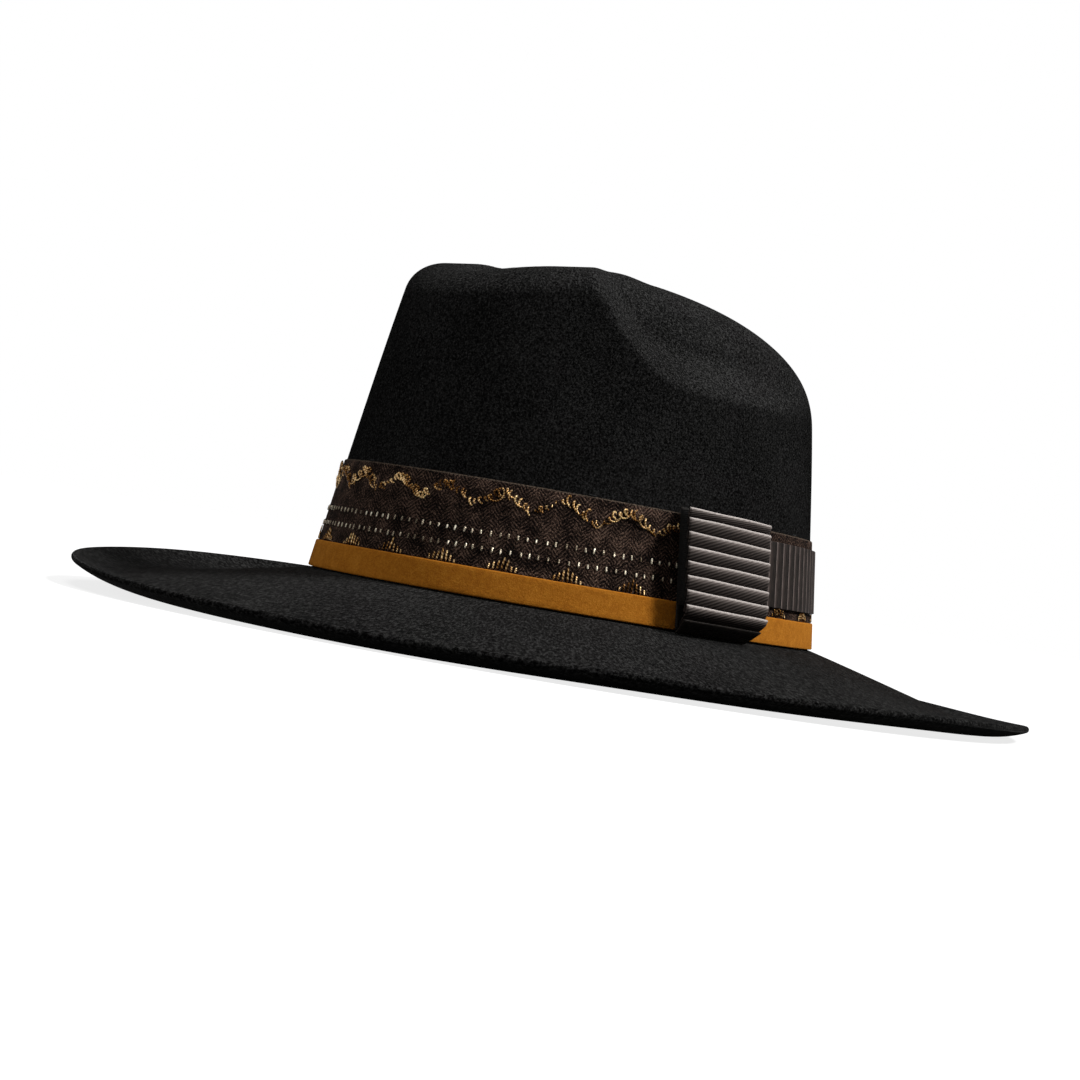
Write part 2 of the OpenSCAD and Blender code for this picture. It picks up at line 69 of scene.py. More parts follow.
# Hatband sizes
PLY_GAP = 0.15
BAND_LIFT = 0.4
SUEDE_WIDTH, SUEDE_THICK = 10, 0.8
BROCADE_WIDTH, BROCADE_THICK = 41, 0.6
BACK_RIBBON_WIDTH, BACK_RIBBON_THICK, BACK_RIBBON_LIFT, BACK_RIBBON_END = 24, 0.7, 3.6, 268
ZIGZAG_COUNT, ZIGZAG_RISE, ZIGZAG_MARGIN, ZIGZAG_PHASE = 26, 8.5, 2, 8
FRINGE_RISE = 5
STITCH_ROW_HEIGHT, STITCH_ROW_PITCH, STITCH_TALL = 6.8, 5.6, 2
THREAD_THICK = 0.35
BOW_ANGLE, BOW_WIDTH, BOW_OVER, BOW_TILT, BOW_LEAN = 84.4, 36, 1.7, 1.7, 2
BOW_DEPTH_TOP, BOW_DEPTH_LOW, BOW_ROLL, ROLLED_SHARE = 5.7, 6.5, 9, 0.45
PLEAT_COUNT, TOP_FOLD, FOOT_FOLD, PLEAT_PROUD = 7, 3.5, 4.5, 1.5
BOW_CORNER, CORNER_HEIGHT = 3.5, 12
BACKING_THICK = 0.8

# Inside sizes
SWEAT_HEIGHT, SWEAT_THICK, SWEAT_JOINT, SWEAT_LOW = 52, 1.2, 0.8, -1
REED_D, TAPE_THICK = 1.8, 0.4
LINING_THICK, LINING_HEM = 0.5, 3 / 10
PIPING_D = 1.8
SMALL_LOOP, SMALL_RIBBON, SMALL_LOW, SMALL_DEPTH, SMALL_CLOTH, KNOT_WIDTH = 14, 5, 6, 4, 0.5, 4
BAR_LONG, BAR_THREAD = 3, 0.5

# Sizes that follow from these
FELT_LEVEL = FELT / math.cos(CROWN_TAPER + 3 * DEG)
SWEAT_OUT = FELT_LEVEL + 2 * PLY_GAP + LINING_THICK
BASE_A = HEAD_LENGTH / 2 + SWEAT_THICK + SWEAT_OUT
BASE_B = HEAD_WIDTH / 2 + SWEAT_THICK + SWEAT_OUT
MEAN_R = (BASE_A + BASE_B) / 2
TOP_R = MEAN_R - CROWN_HEIGHT * math.tan(CROWN_TAPER)
BROCADE_FACE = PLY_GAP + BROCADE_THICK
OVER_BROCADE = BROCADE_FACE + PLY_GAP
SUEDE_FACE = OVER_BROCADE + SUEDE_THICK
OVER_THREADS = OVER_BROCADE + THREAD_THICK + PLY_GAP
BOW_SEAT = max(SUEDE_FACE, OVER_THREADS + BACK_RIBBON_THICK) + PLY_GAP
BOW_BACK = BOW_SEAT + BACKING_THICK + PLY_GAP
SUEDE_TOP = BAND_LIFT + SUEDE_WIDTH
BROCADE_LOW = BAND_LIFT + PLY_GAP
BROCADE_TOP = BROCADE_LOW + BROCADE_WIDTH
BOW_TOP = BROCADE_TOP + BOW_OVER
PLEAT_PITCH = (BOW_TOP - TOP_FOLD - FOOT_FOLD) / PLEAT_COUNT
SWEAT_FACE = -SWEAT_OUT - SWEAT_THICK
# Rows of the felt's mesh along the brim, up the crown's wall, over its bend and in to the middle of its top
BRIM_ROWS, WALL_ROWS, BEND_ROWS, TOP_ROWS = 64, 64, 40, 48
CROWN_ROWS = WALL_ROWS + BEND_ROWS + TOP_ROWS
# Columns of the felt's mesh, of the pieces that run all round, of the back ribbon, the sweatband and the bow
FELT_COLUMNS, RING_COLUMNS, RIBBON_COLUMNS, SWEAT_COLUMNS, BOW_COLUMNS = 288, 480, 300, 361, 41
# Height of the brim's inner edge over the floor
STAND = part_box("suede_band")[0][2] / MM - BAND_LIFT


def unit(v):
    return v / np.linalg.norm(v, axis=-1, keepdims=True)


def mix(a, b, share):
    return a + (b - a) * share


def smooth(x):
    c = np.clip(x, 0, 1)
    return c * c * (3 - 2 * c)


def oval(t):
    return np.stack([BASE_B * np.sin(t), -BASE_A * np.cos(t)], -1)


def oval_normal(t):
    return unit(np.stack([BASE_A * np.sin(t), -BASE_B * np.cos(t)], -1))


def outward(t):
    n = oval_normal(t)
    return np.concatenate([n, np.zeros_like(n[..., :1])], -1)


def wall_point(t, h, out):
    """Point at height h over the brim, a distance out from the crown's straight wall."""
    t, h, out = np.broadcast_arrays(t, h, out)
    xy = oval(t) * (1 - h * math.tan(CROWN_TAPER) / MEAN_R)[..., None] + out[..., None] * oval_normal(t)
    return np.concatenate([xy, h[..., None] + STAND], -1)


def brim_height(t, d):
    share = d / BRIM_WIDTH
    fall = (BRIM_DROP - BRIM_REAR_DROP * np.cos(t)) * (1 - np.maximum(1 - share, 0) ** BRIM_CURVE)
    sway = (BRIM_SADDLE * np.cos(2 * t) + BRIM_SIDE * np.sin(t)) * share ** SADDLE_POWER
    curl = np.clip((d - BRIM_WIDTH + RIM_CURL_WIDTH) / RIM_CURL_WIDTH, 0, 1)
    return RIM_CURL * curl ** 2 - fall - sway


def brim_point(t, d):
    t, d = np.broadcast_arrays(t, d)
    xy = oval(t) + d[..., None] * oval_normal(t)
    return np.concatenate([xy, (brim_height(t, d) + STAND)[..., None]], -1)


def crown_profile(t, row):
    """Share of the base oval and height of the open crown, by rows up its wall, over its bend and inward."""
    reach = mix(SHOULDER_FRONT, SHOULDER_BACK, smooth((from_front(t) - SHOULDER_START) / SHOULDER_SPAN))
    in_r = TOP_R + reach * math.sin(CROWN_TAPER)
    in_h = CROWN_HEIGHT - reach * math.cos(CROWN_TAPER)
    up, q, flat = row / WALL_ROWS, (row - WALL_ROWS) / BEND_ROWS, (row - WALL_ROWS - BEND_ROWS) / TOP_ROWS
    bend_r = mix(mix(in_r, TOP_R, q), mix(TOP_R, TOP_R - reach, q), q)
    bend_h = mix(mix(in_h, CROWN_HEIGHT, q), CROWN_HEIGHT, q)
    r = np.where(q < 0, mix(MEAN_R, in_r, up), np.where(q < 1, bend_r, mix(TOP_R - reach, 0, flat)))
    h = np.where(q < 0, mix(0, in_h, up), np.where(q < 1, bend_h, CROWN_HEIGHT))
    return r / MEAN_R, h


def from_front(t):
    """Degrees round the oval from the front, the same to both sides."""
    turns = np.degrees(t)
    return np.abs(turns - 360 * np.round(turns / 360))


def pinch(t, share, z):
    """Inward push of the side dent at height z; its lower edge climbs toward the front."""
    past = from_front(t) - PINCH_TURN
    up = (z - PINCH_LOW - PINCH_CLIMB * (np.minimum(past, 0) / PINCH_SPAN) ** 2) / PINCH_LIP
    depth = PINCH_DEPTH * smooth(up) * (1 - PINCH_FADE * smooth((up - 1) / 2))
    return depth * (1 - smooth(past / PINCH_BACK)) * smooth(share / PINCH_HUB)


def crown_point(t, row):
    t, row = np.broadcast_arrays(t, row)
    share, height = crown_profile(t, row)
    flat = oval(t) * share[..., None]
    rise = np.clip(height / CROWN_HEIGHT, 0, 1)
    back = (flat[..., 1] + RIDGE_AHEAD) / RIDGE_SPAN
    z = height - np.where(back > 0, RIDGE_FALL_BACK, RIDGE_FALL_FRONT) * back ** 2 * rise ** RIDGE_POWER
    xy = flat - pinch(t, share, z)[..., None] * oval_normal(t)
    along = 2 * flat[..., 1] / CREASE_LENGTH
    across = 2 * flat[..., 0] / (CREASE_WIDTH * (1 + CREASE_FLARE * np.clip(along, -1, 1)))
    dip = np.clip(1 - along ** 2 - across ** 2, 0, 1) ** CREASE_POWER
    dip = CREASE_DEPTH * dip * smooth((rise - CREASE_START) / (1 - CREASE_START))
    return np.concatenate([xy, (z - dip + STAND)[..., None]], -1)


# Mesh building: each part is its points and a list of faces with their flat-cloth places

def loft(points, flat=None, closed=True, looped=True, poles=None):
    """Faces over a grid whose columns run along the piece and whose rows run along each section."""
    n, m = points.shape[:2]
    if flat is None:
        flat = np.zeros((n + 1, m + 1, 2))
    i, k = np.meshgrid(np.arange(n if closed else n - 1), np.arange(m if looped else m - 1), indexing="ij")
    corners = [(i, k), (i + 1, k), (i + 1, k + 1), (i, k + 1)]
    faces = [(np.stack([(a % n) * m + b % m for a, b in corners], -1).reshape(-1, 4),
              np.stack([flat[a, b] for a, b in corners], -2).reshape(-1, 4, 2))]
    if not closed:
        k = np.arange(m // 2 - 1)
        cap = np.stack([k, k + 1, m - 2 - k, m - 1 - k], -1)
        for column, order in ((0, 1), (n - 1, -1)):
            faces.append((column * m + cap[:, ::order], flat[column][cap[:, ::order]]))
    verts = points.reshape(-1, 3)
    if poles is not None:
        i, j = np.arange(n), (np.arange(n) + 1) % n
        first = np.stack([j * m, i * m, np.full(n, n * m)], -1)
        last = np.stack([i * m + m - 1, j * m + m - 1, np.full(n, n * m + 1)], -1)
        faces += [(first, np.zeros((n, 3, 2))), (last, np.zeros((n, 3, 2)))]
        verts = np.concatenate([verts, poles])
    return verts, faces


def copies(part, origin, along, side, up):
    """The part repeated on many small frames; its x lies along, its y beside and its z up."""
    verts, faces = part
    count = len(origin)
    placed = (origin[:, None] + verts[None, :, :1] * along[:, None] + verts[None, :, 1:2] * side[:, None]
              + verts[None, :, 2:] * up[:, None])
    shift = len(verts) * np.arange(count)[:, None, None]
    return placed.reshape(-1, 3), [((f[None] + shift).reshape(-1, f.shape[1]),
                                    np.tile(uv, (count, 1, 1))) for f, uv in faces]


def tube(path, out, radius, closed=False, sides=8):
    step = np.roll(path, -1, 0) - np.roll(path, 1, 0) if closed else np.gradient(path, axis=0)
    along = unit(step)
    side = unit(np.cross(out, along))
    up = np.cross(along, side)
    a = TURN * np.arange(sides) / sides
    radius = np.broadcast_to(radius, len(path))[:, None, None]
    ring = path[:, None] + radius * (np.cos(a)[:, None] * up[:, None] + np.sin(a)[:, None] * side[:, None])
    return loft(ring, flat_grid(lengths(path, closed), np.arange(sides + 1) / sides), closed)


def lengths(path, closed=True):
    """Distance along a path at each of its points, and once round at the end."""
    ends = np.concatenate([path, path[:1]]) if closed else np.concatenate([path, path[-1:]])
    return np.concatenate([[0], np.cumsum(np.linalg.norm(np.diff(ends, axis=0), axis=1))])


def flat_grid(u, v):
    return np.stack(np.meshgrid(u, v, indexing="ij"), -1)


def strip_section(low, high, back, face, edge, steps=6):
    """Rounded section of a strip as heights and distances out, up its face and down its back."""
    a = np.linspace(0, 90, 4) * DEG
    h = np.concatenate([low + edge * (1 - np.cos(a)), np.linspace(low + edge, high - edge, steps)[1:-1],
                        high - edge * (1 - np.sin(a))])
    o = np.concatenate([face - edge * (1 - np.sin(a)), np.full(steps - 2, face),
                        face - edge * (1 - np.cos(a))])
    return np.concatenate([h, h[::-1]]), np.concatenate([o, back + face - o[::-1]])


def wall_ribbon(t, low, high, back, face, edge, closed=True, steps=6):
    """Strip of ribbon or leather on the crown wall along the angles t."""
    h, o = strip_section(low, high, back, face, edge, steps)
    along = lengths(wall_point(t, (low + high) / 2, face), closed)
    return loft(wall_point(t[:, None], h[None], o[None]), flat_grid(along, np.append(h, h[0])), closed)


def piece(name, parts, material, node):
    """Smooth mesh object from parts in millimetres, in the place of a CAD node."""
    verts, loops, uvs, totals, shift = [], [], [], [], 0
    for part_verts, faces in parts:
        for corners, uv in faces:
            loops.append((corners + shift).ravel())
            uvs.append(uv.reshape(-1, 2))
            totals.append(np.full(len(corners), corners.shape[1]))
        verts.append(part_verts)
        shift += len(part_verts)
    verts, loops, uvs, totals = map(np.concatenate, (verts, loops, uvs, totals))
    mesh = bpy.data.meshes.new(name)
    mesh.vertices.add(len(verts))
    mesh.vertices.foreach_set("co", (verts * MM).astype(np.float32).ravel())
    mesh.loops.add(len(loops))
    mesh.loops.foreach_set("vertex_index", loops.astype(np.int32))
    mesh.polygons.add(len(totals))
    mesh.polygons.foreach_set("loop_start", (np.cumsum(totals) - totals).astype(np.int32))
    mesh.polygons.foreach_set("loop_total", totals.astype(np.int32))
    mesh.polygons.foreach_set("use_smooth", np.ones(len(totals), dtype=bool))
    mesh.update(calc_edges=True)
    mesh.uv_layers.new(name=FLAT_MAP).data.foreach_set("uv", uvs.astype(np.float32).ravel())
    mesh.materials.append(material)
    made = bpy.data.objects.new(name, mesh)
    bpy.context.collection.objects.link(made)
    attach(made, "root")
    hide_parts(node)
    return made


# Name of the map that holds each piece's flat-cloth places, in millimetres
FLAT_MAP = "flat"


class Paint:
    """A material with short calls for its nodes."""

    def __init__(self, name, roughness, specular, **sockets):
        self.material = bpy.data.materials.new(name)
        self.material.use_nodes = True
        self.tree = self.material.node_tree
        self.bsdf = self.tree.nodes["Principled BSDF"]
        self.bsdf.inputs["Roughness"].default_value = roughness
        self.bsdf.inputs["Specular IOR Level"].default_value = specular
        for socket, value in sockets.items():
            self.bsdf.inputs[socket.replace("_", " ").title()].default_value = value
        self.place = self.add("TexCoord").outputs["Object"]

    def add(self, kind, **inputs):
        node = self.tree.nodes.new("ShaderNode" + kind)
        for socket, value in inputs.items():
            self.put(node.inputs[socket], value)
        return node

    def put(self, socket, value):
        if isinstance(value, bpy.types.NodeSocket):
            self.tree.links.new(value, socket)
        else:
            socket.default_value = value

    def math(self, operation, *values):
        node = self.add("Math")
        node.operation = operation
        for socket, value in zip(node.inputs, values):
            self.put(socket, value)
        return node.outputs[0]

    def flat(self):
        """Places along and across the flat cloth, in millimetres."""
        node = self.add("UVMap")
        node.uv_map = FLAT_MAP
        split = self.add("SeparateXYZ", Vector=node.outputs["UV"])
        return split.outputs["X"], split.outputs["Y"]

    def noise(self, scale, detail=2.0, roughness=0.5, distortion=0.0, place=None):
        node = self.add("TexNoise", Vector=place or self.place, Scale=scale, Detail=detail,
                        Roughness=roughness, Distortion=distortion)
        return node.outputs["Fac"]

    def vector(self, x, y, z=0.0):
        return self.add("CombineXYZ", X=x, Y=y, Z=z).outputs[0]

    def ramp(self, share, *stops):
        node = self.add("ValToRGB", Fac=share)
        marks = node.color_ramp.elements
        while len(marks) < len(stops):
            marks.new(0.5)
        for mark, (at, colour) in zip(marks, stops):
            mark.position = at
            mark.color = colour
        return node.outputs["Color"]

    def blend(self, share, first, second, kind="MIX"):
        node = self.add("Mix")
        node.data_type = "RGBA"
        node.blend_type = kind
        colour_in = [socket for socket in node.inputs if socket.type == "RGBA"]
        self.put(node.inputs["Factor"], share)
        self.put(colour_in[0], first)
        self.put(colour_in[1], second)
        return next(socket for socket in node.outputs if socket.type == "RGBA")

    def wave(self, place, pitch, phase=0.0):
        """Sine between 0 and 1 that repeats each pitch millimetres."""
        turns = self.math("MULTIPLY_ADD", place, TURN / pitch, phase)
        return self.math("MULTIPLY_ADD", self.math("SINE", turns), 0.5, 0.5)

    def colour(self, value):
        self.put(self.bsdf.inputs["Base Color"], value)

    def relief(self, height, depth, strength=1.0):
        """Surface relief of the given depth in metres."""
        last = self.bsdf.inputs["Normal"].links
        node = self.add("Bump", Height=height, Strength=strength, Distance=depth)
        if last:
            self.put(node.inputs["Normal"], last[0].from_socket)
        self.put(self.bsdf.inputs["Normal"], node.outputs["Normal"])


def tone(red, green, blue):
    """Linear colour from 8-bit screen values."""
    return tuple((x / 255 / 12.92 if x <= 10 else ((x / 255 + 0.055) / 1.055) ** 2.4)
                 for x in (red, green, blue)) + (1.0,)


def grey(value):
    return (value, value, value, 1)


# Materials

def felt_paint():
    p = Paint("black_felt", 1.0, 0.0, sheen_roughness=0.35)
    spot = p.add("SeparateXYZ", Vector=p.place).outputs
    ring = p.math("MULTIPLY", p.math("ARCTAN2", spot["X"], spot["Y"]), 0.14)
    radius = p.math("SQRT", p.math("MULTIPLY_ADD", spot["X"], spot["X"],
                                   p.math("MULTIPLY", spot["Y"], spot["Y"])))
    brushed = p.noise(1000, 3, 0.75, 0.3, p.vector(ring, p.math("MULTIPLY", radius, 0.5), spot["Z"]))
    fibre = p.noise(1400, 3, 0.75, 0.5)
    on_brim = p.math("LESS_THAN", spot["Z"], STAND * MM)
    p.put(p.bsdf.inputs["Sheen Weight"], p.math("MULTIPLY", on_brim, 0.06))
    grain = p.math("MULTIPLY_ADD", on_brim, p.math("SUBTRACT", brushed, fibre), fibre)
    felt_mottle = p.math("MULTIPLY_ADD", p.noise(24, 2, 0.5), 0.12, grain)
    crown = p.ramp(felt_mottle, (0.42, grey(0.0015)), (0.56, (0.0155, 0.0153, 0.015, 1)),
                   (0.72, (0.064, 0.0632, 0.062, 1)))
    brim = p.ramp(felt_mottle, (0.42, grey(0.0006)), (0.56, (0.008, 0.0078, 0.0076, 1)),
                  (0.72, (0.036, 0.0354, 0.0345, 1)))
    # Painted top light: the crown's felt colour is scaled from 0.56 on its upright walls to 0.94 where it
    # faces up, so its tops and bends look lit
    up = p.add("SeparateXYZ", Vector=p.add("TexCoord").outputs["Normal"]).outputs["Z"]
    painted_top_light = p.ramp(p.math("MULTIPLY_ADD", up, 3.6, -0.5), (0.0, grey(0.56)), (1.0, grey(0.94)))
    p.colour(p.blend(on_brim, p.blend(1.0, crown, painted_top_light, "MULTIPLY"), brim))
    p.relief(grain, 0.0004, 0.4)
    return p.material


def suede_paint():
    p = Paint("mustard_suede", 0.95, 0.08, sheen_weight=0.1, sheen_roughness=0.5)
    p.put(p.bsdf.inputs["Sheen Tint"], (0.9, 0.55, 0.15, 1))
    nap = p.noise(1500, 4, 0.7, 0.6)
    brushed = p.noise(230, 3, 0.6, 1.2)
    mixed = p.math("MULTIPLY_ADD", brushed, 0.45, p.math("MULTIPLY", nap, 0.65))
    p.colour(p.ramp(mixed, (0.3, (0.3, 0.095, 0.007, 1)), (0.55, (0.47, 0.165, 0.014, 1)),
                    (0.8, (0.64, 0.26, 0.03, 1))))
    p.relief(nap, 0.0004, 0.6)
    return p.material


def brocade_paint():
    p = Paint("herringbone_brocade", 0.85, 0.05)
    u, v = p.flat()
    flat = p.vector(u, v)
    drift = p.math("MULTIPLY_ADD", p.noise(0.25, 2, 0.5, 0.0, flat), 2.4, v)
    ribs = p.wave(p.math("ADD", p.math("PINGPONG", u, 3.6), drift), 1.5)
    yarn = p.noise(1.9, 4, 0.85, 0.8, flat)
    patch = p.noise(0.16, 2, 0.5, 0.0, flat)
    worn = p.math("MULTIPLY_ADD", yarn, 1.15, p.math("MULTIPLY", patch, 0.3))
    weave = p.math("MULTIPLY_ADD", ribs, 0.1, worn)
    cloth = p.ramp(weave, (0.69, tone(3, 2, 2)), (0.81, tone(42, 31, 26)), (0.97, tone(136, 110, 95)))
    edge = p.math("GREATER_THAN", v, BROCADE_TOP - 0.5)
    p.colour(p.blend(edge, cloth, p.ramp(yarn, (0.4, tone(30, 24, 20)), (0.7, tone(128, 112, 98)))))
    p.relief(ribs, 0.0003, 0.4)
    p.relief(yarn, 0.0003, 0.9)
    return p.material


def metal_thread_paint(name, dark, middle, bright):
    p = Paint(name, 0.3, 0.5, metallic=1.0)
    u, v = p.flat()
    twist = p.wave(p.math("MULTIPLY_ADD", v, 0.9, u), 0.9)
    # The thread's colour runs in random patches from near-black to pale metal: partly painted glints and
    # painted shade, on top of its real reflections
    glint = p.math("MULTIPLY_ADD", p.noise(420, 3, 0.7), 0.5, p.math("MULTIPLY", p.noise(150, 1, 0.5), 0.7))
    p.colour(p.ramp(p.math("MULTIPLY_ADD", twist, 0.2, glint), (0.58, dark), (0.72, middle), (0.86, bright)))
    p.relief(twist, 0.00012, 0.8)
    return p.material


def thread_paint(name, dark, bright):
    p = Paint(name, 0.75, 0.25)
    u, v = p.flat()
    twist = p.wave(p.math("MULTIPLY_ADD", v, 0.7, u), 0.7)
    mixed = p.math("MULTIPLY_ADD", p.noise(1500), 0.5, p.math("MULTIPLY", twist, 0.5))
    p.colour(p.ramp(mixed, (0.2, dark), (0.8, bright)))
    p.relief(twist, 0.0001, 0.7)
    return p.material


def grosgrain_paint(name, line, light, dark, slope, pitch, grain, uneven, foot=math.inf):
    """Ribbed ribbon with a stripe for each pleat, bright line to dark ground, and dark past its foot as
    painted shade; on the bow the stripe is a painted highlight at each fold and painted shade below it.
    """
    p = Paint(name, 0.6, 0.1)
    u, v = p.flat()
    slant = p.math("MULTIPLY_ADD", v, slope, u)
    share = p.math("FRACT", p.math("DIVIDE", u, PLEAT_PITCH))
    ribs = p.wave(slant, pitch)
    fine = p.vector(p.math("MULTIPLY", slant, grain), p.math("MULTIPLY", v, grain / 6))
    yarn = p.noise(1.0, 3, 0.6, 0.0, fine)
    # Stripe for each pleat: on the bow a painted highlight at the fold, then painted shade down to the next
    # fold; on the back ribbon a stripe in the same tones
    stripe_and_pleat_shade = p.ramp(share, (0.0, line), (0.1, light), (0.32, mix(np.array(light), np.array(dark), 0.7)),
                    (0.75, dark), (0.97, 0.5 * np.array(dark)))
    below = p.math("MINIMUM", p.math("MULTIPLY", share, 2.5), 1.0)
    hatch = p.math("MULTIPLY", p.math("SUBTRACT", 1.0, ribs), p.math("MULTIPLY", below, 0.7))
    worn = p.math("MULTIPLY_ADD", yarn, uneven, 0.2 - uneven / 2)
    shown = p.blend(p.math("ADD", worn, hatch), stripe_and_pleat_shade, tone(8, 7, 6))
    # Past the foot the colour is painted shade, a dark tone where the ribbon rolls under
    if math.isfinite(foot):
        under = p.ramp(yarn, (0.3, tone(10, 9, 8)), (0.7, tone(52, 46, 42)))
        shown = p.blend(p.math("GREATER_THAN", u, foot), shown, under)
    p.colour(shown)
    p.relief(ribs, 0.00016, 0.8)
    p.relief(yarn, 0.0001, 0.5)
    return p.material


def canvas_paint(name, dark, bright, pitch=0.7):
    p = Paint(name, 0.85, 0.2)
    u, v = p.flat()
    weave = p.math("MULTIPLY", p.wave(u, pitch), p.wave(v, pitch))
    mixed = p.math("MULTIPLY_ADD", p.noise(700, 3), 0.6, p.math("MULTIPLY", weave, 0.5))
    p.colour(p.ramp(mixed, (0.2, dark), (0.8, bright)))
    p.relief(weave, 0.00015, 0.7)
    return p.material


def leather_paint():
    p = Paint("sweatband_leather", 0.5, 0.4)
    pores = p.add("TexVoronoi", Vector=p.place, Scale=900.0).outputs["Distance"]
    wear = p.noise(40, 3, 0.6, 0.5)
    p.colour(p.ramp(wear, (0.3, (0.035, 0.014, 0.006, 1)), (0.55, (0.075, 0.03, 0.012, 1)),
                    (0.8, (0.13, 0.058, 0.025, 1))))
    p.relief(pores, 0.0003, 0.5)
    p.put(p.bsdf.inputs["Roughness"], p.math("MULTIPLY_ADD", wear, 0.3, 0.35))
    return p.material


def satin_paint():
    p = Paint("lining_satin", 0.38, 0.5, anisotropic=0.5)
    u, v = p.flat()
    threads = p.wave(u, 0.5)
    streak = p.noise(1.0, 3, 0.6, 0.0, p.vector(p.math("MULTIPLY", u, 0.9), p.math("MULTIPLY", v, 0.05)))
    p.colour(p.ramp(p.math("MULTIPLY_ADD", streak, 0.8, p.math("MULTIPLY", threads, 0.15)),
                    (0.25, (0.018, 0.011, 0.006, 1)), (0.75, (0.075, 0.05, 0.03, 1))))
    p.relief(streak, 0.0002, 0.4)
    return p.material


def reed_paint():
    p = Paint("reed", 0.5, 0.4)
    p.colour(p.ramp(p.noise(300, 3), (0.3, (0.55, 0.52, 0.45, 1)), (0.7, (0.75, 0.73, 0.68, 1))))
    return p.material


FELT_PAINT = felt_paint()
SUEDE_PAINT = suede_paint()
BROCADE_PAINT = brocade_paint()
GOLD_PAINT = metal_thread_paint("gold_thread", (0.04, 0.016, 0.004, 1), (0.4, 0.19, 0.055, 1),
                                (1.0, 0.74, 0.38, 1))
SILVER_PAINT = metal_thread_paint("silver_thread", (0.1, 0.075, 0.05, 1), (0.6, 0.5, 0.36, 1),
                                  (1.0, 0.92, 0.74, 1))
# Bow tones: a painted highlight at each fold, painted light and shade on the pleat below it, and painted
# shade past its foot
BOW_PAINT = grosgrain_paint("pleated_grosgrain", tone(222, 212, 206), tone(150, 138, 132), tone(66, 57, 53),
                            slope=0.45, pitch=1.15, grain=3.0, uneven=0.4,
                            foot=(PLEAT_COUNT + 0.96) * PLEAT_PITCH)
BACK_RIBBON_PAINT = grosgrain_paint("striped_grosgrain", tone(168, 152, 146), tone(96, 84, 79),
                                    tone(54, 46, 42), slope=0.0, pitch=0.8, grain=1.2, uneven=1.8)
CORE_SHADE_PAINT = canvas_paint("core_canvas_shade", (0.0015, 0.0014, 0.0013, 1), (0.005, 0.0046, 0.0042, 1))
BACKING_PAINT = canvas_paint("backing_canvas", (0.008, 0.007, 0.006, 1), (0.028, 0.025, 0.022, 1))
TAPE_PAINT = canvas_paint("black_tape", grey(0.006), grey(0.022), 0.8)
DARK_THREAD_PAINT = thread_paint("dark_thread", grey(0.004), grey(0.02))
TAN_THREAD_PAINT = thread_paint("tan_thread", (0.16, 0.09, 0.04, 1), (0.42, 0.28, 0.15, 1))
LEATHER_PAINT = leather_paint()
SATIN_PAINT = satin_paint()
PIPING_PAINT = thread_paint("bronze_piping", (0.07, 0.03, 0.008, 1), (0.28, 0.15, 0.05, 1))
REED_PAINT = reed_paint()

random = np.random.default_rng(11)
ALL_ROUND = TURN * np.arange(RING_COLUMNS) / RING_COLUMNS


# Felt crown and brim

# Slow waves of the brim's edge, as left by the hand: their sizes, counts round the brim and phases
HAND_WAVES = ((0.3, 3, 0.7), (0.22, 5, 2.1), (0.12, 9, 4))


def normals(grid):
    return unit(np.cross(np.roll(grid, -1, 0) - np.roll(grid, 1, 0), np.gradient(grid, axis=1)))


def felt_grid(columns):
    t = TURN * np.arange(columns) / columns
    d = (BRIM_WIDTH - FELT / 2) * (1 - np.arange(BRIM_ROWS) / BRIM_ROWS)
    brim = brim_point(t[:, None], d[None])
    hand = sum(size * np.cos(count * t + phase) for size, count, phase in HAND_WAVES)
    brim[..., 2] += hand[:, None] * (d / BRIM_WIDTH)[None] ** 2
    return np.concatenate([brim, crown_point(t[:, None], np.arange(CROWN_ROWS)[None])], axis=1)


felt_out = felt_grid(FELT_COLUMNS)
felt_normals = normals(felt_out)
felt_in = felt_out - FELT * felt_normals
rim_out = unit(felt_out[:, 0] - felt_out[:, 1])
rim_mid = (felt_out[:, 0] + felt_in[:, 0]) / 2
turns = np.linspace(-90, 90, 9)[1:-1, None] * DEG
rim = rim_mid[:, None] + FELT / 2 * (np.sin(turns) * felt_normals[:, :1] + np.cos(turns) * rim_out[:, None])
top = crown_point(0.0, CROWN_ROWS)
felt_sections = np.concatenate([felt_in[:, ::-1], rim, felt_out], axis=1)
felt_body = piece("felt_hat_body", [loft(felt_sections, looped=False, poles=[top - [0, 0, FELT], top])],
                  FELT_PAINT, "felt_body")

# Hatband: roundings of its strips' edges, then the strips
BROCADE_EDGE, SUEDE_EDGE, RIBBON_EDGE = 0.4, 0.45, 0.3
brocade = piece("brocade_band", [wall_ribbon(ALL_ROUND, BROCADE_LOW, BROCADE_TOP, PLY_GAP, BROCADE_FACE,
                                             BROCADE_EDGE, steps=10)],
                BROCADE_PAINT, "brocade_ribbon")
suede = piece("suede_strip", [wall_ribbon(ALL_ROUND, BAND_LIFT, SUEDE_TOP, OVER_BROCADE, SUEDE_FACE,
                                          SUEDE_EDGE, steps=8)],
              SUEDE_PAINT, "suede_band")
ribbon_t = np.linspace(BOW_ANGLE, BACK_RIBBON_END, RIBBON_COLUMNS) * DEG
ribbon_low = SUEDE_TOP + BACK_RIBBON_LIFT
ribbon_top = ribbon_low + BACK_RIBBON_WIDTH
back_ribbon = piece("back_ribbon_band", [wall_ribbon(ribbon_t, ribbon_low, ribbon_top, OVER_THREADS,
                                                     OVER_THREADS + BACK_RIBBON_THICK, RIBBON_EDGE, False)],
                    BACK_RIBBON_PAINT, "back_ribbon")


def wall_radius(t):
    return np.hypot(BASE_B * np.cos(t), BASE_A * np.sin(t))


